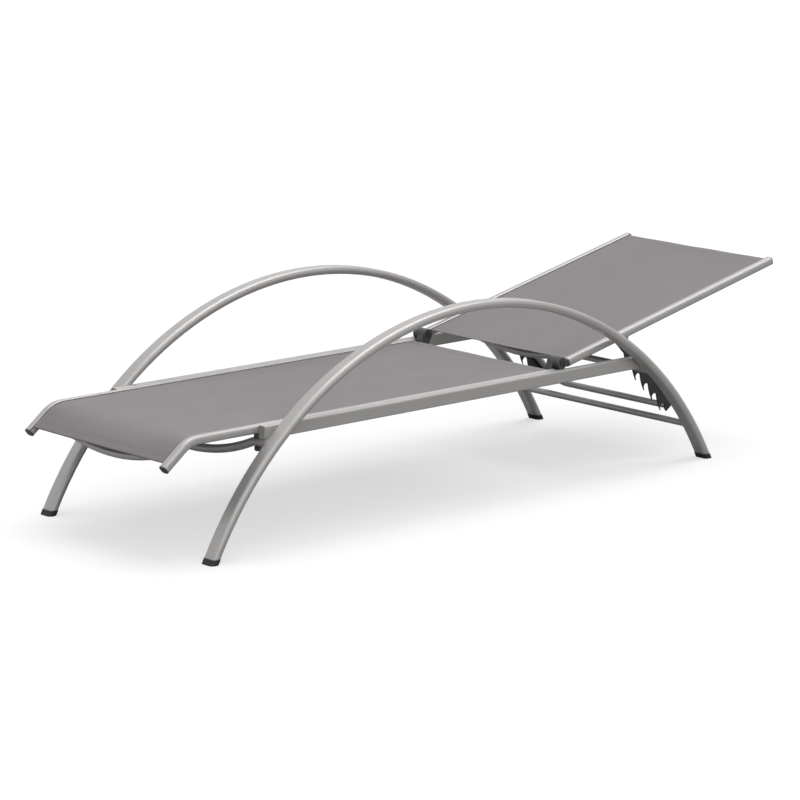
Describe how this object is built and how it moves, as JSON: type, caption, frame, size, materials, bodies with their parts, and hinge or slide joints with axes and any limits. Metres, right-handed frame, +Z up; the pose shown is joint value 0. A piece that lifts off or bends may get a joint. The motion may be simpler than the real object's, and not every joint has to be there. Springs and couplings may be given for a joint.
{
  "type": "sun lounger",
  "caption": "Outdoor sun lounger with fabric slings in a tubular frame, arched side legs and a hinged backrest held by a notched bail.",
  "frame": {"origin": "centre of the lounger's outer box, on the ground", "axes": "+X from the foot end to the head end, +Y across to the far side of the picture, +Z up"},
  "size_m": [1.943, 0.642, 0.4894],
  "materials": {
    "frame_metal": "satin silver-grey powder coat",
    "black_plate": "satin black",
    "hinge_plastic": "matte dark grey",
    "cap_plastic": "matte black",
    "foot_rubber": "matte black",
    "sling_fabric": "taupe-grey coated weave",
    "rod_plastic": "plain",
    "fastener_steel": "zinc plated"
  },
  "bodies": {
    "frame": {"arch_far": "frame_metal", "arch_near": "frame_metal", "foot_caps_front": "foot_rubber", "foot_caps_rear": "foot_rubber", "main_rail_far": "frame_metal", "main_rail_near": "frame_metal", "main_rail_plugs": "cap_plastic", "seat_rail_far": "frame_metal", "seat_rail_near": "frame_metal", "seat_rail_caps": "cap_plastic", "seat_sling": "sling_fabric", "seat_sling_rods": "rod_plastic", "nose_cross_tube": "frame_metal", "leg_cross_tube": "frame_metal", "leg_bolts": "fastener_steel", "leg_spacers": "cap_plastic", "leg_cap_nuts": "cap_plastic", "catch_bar": "frame_metal", "rear_cross_tube": "frame_metal", "seat_knuckles": "hinge_plastic", "hinge_pins": "fastener_steel"},
    "backrest": {"back_knuckles": "hinge_plastic", "back_rail_far": "frame_metal", "back_rail_near": "frame_metal", "back_rail_caps": "cap_plastic", "back_sling": "sling_fabric", "back_sling_rods": "rod_plastic", "back_low_cross_tube": "frame_metal", "back_top_cross_tube": "frame_metal", "pivot_tabs": "frame_metal", "pivot_bolts": "fastener_steel", "pivot_spacers": "cap_plastic"},
    "bail": {"bail": "frame_metal", "bail_plugs": "cap_plastic", "notched_plate_far": "black_plate", "notched_plate_near": "black_plate", "plate_screws": "fastener_steel"}
  },
  "joints": [
    {"name": "back_hinge", "type": "hinge", "parent": "frame", "child": "backrest", "pos_m": [0.23249, 0, 0.292], "axis": [0, -1, 0], "range_deg": [0, 40]},
    {"name": "bail_pivot", "type": "hinge", "parent": "backrest", "child": "bail", "pos_m": [0.46571, 0, 0.32203], "axis": [0, -1, 0], "range_deg": [-44, 0]}
  ],
  "couplings": [
    {"joint": "bail_pivot", "follows": "back_hinge", "ratio": -1.1}
  ]
}
